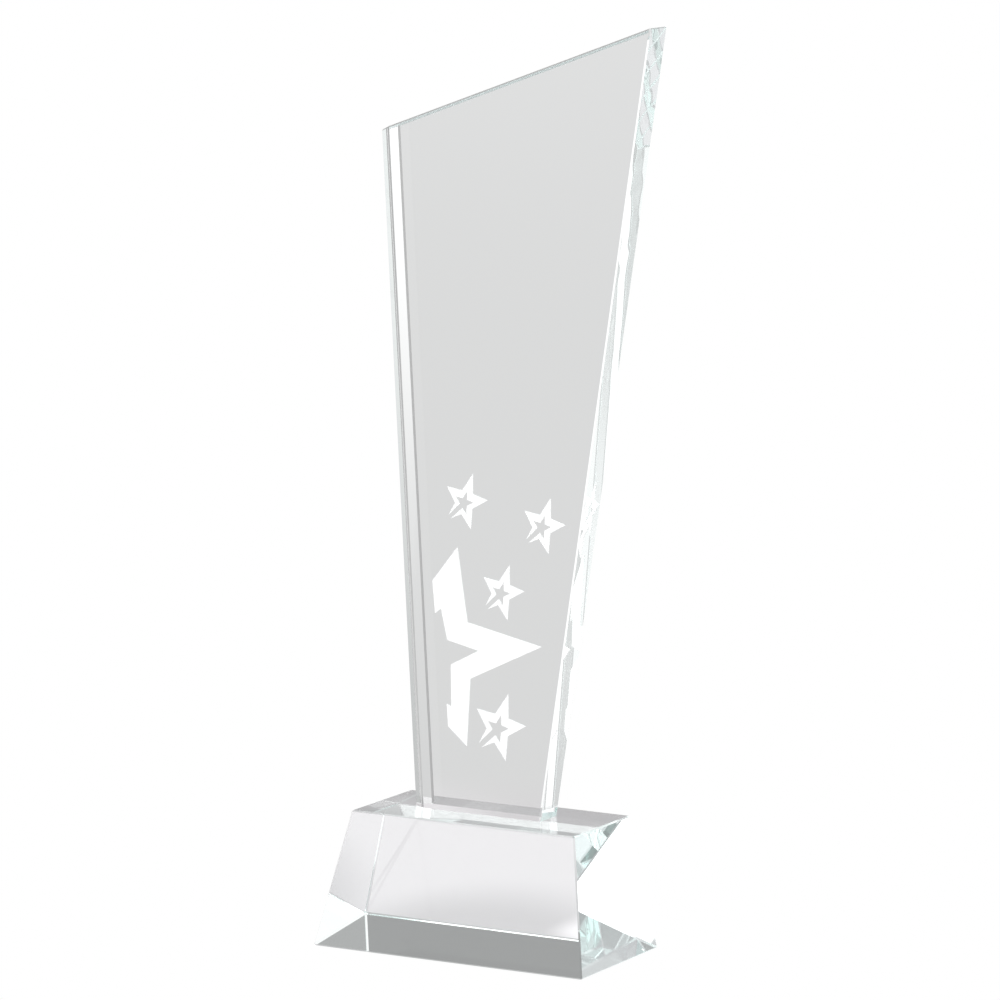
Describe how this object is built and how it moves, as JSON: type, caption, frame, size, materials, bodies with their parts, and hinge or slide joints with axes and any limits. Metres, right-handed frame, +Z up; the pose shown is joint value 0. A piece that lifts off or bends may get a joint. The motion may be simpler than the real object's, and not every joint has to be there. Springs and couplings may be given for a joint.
{
  "type": "crystal award",
  "caption": "Free-standing clear crystal award: a tapered plaque with a slanting top, bonded upright on a bevelled crystal block, with enamel-filled stars etched into its back and read through it.",
  "frame": {"origin": "centre of the block's underside, where the award stands", "axes": "+Z up, the front, from which the stars are read through the crystal, faces -Y, the plaque's taller side is at +X"},
  "size_m": [0.0848, 0.0548, 0.27],
  "materials": {
    "plaque_crystal": "optically polished clear crystal",
    "base_crystal": "optically polished clear crystal, ground arrises",
    "clear_adhesive": "clear UV-cured film",
    "white_enamel": "opaque white paint fill in an etched pocket"
  },
  "bodies": {
    "root": {"base_block": "base_crystal", "adhesive_bond": "clear_adhesive", "crystal_plaque": "plaque_crystal", "star_fill_upper_left": "white_enamel", "star_fill_upper_right": "white_enamel", "star_fill_middle": "white_enamel", "star_fill_lower": "white_enamel", "large_star_fill": "white_enamel"}
  },
  "joints": []
}
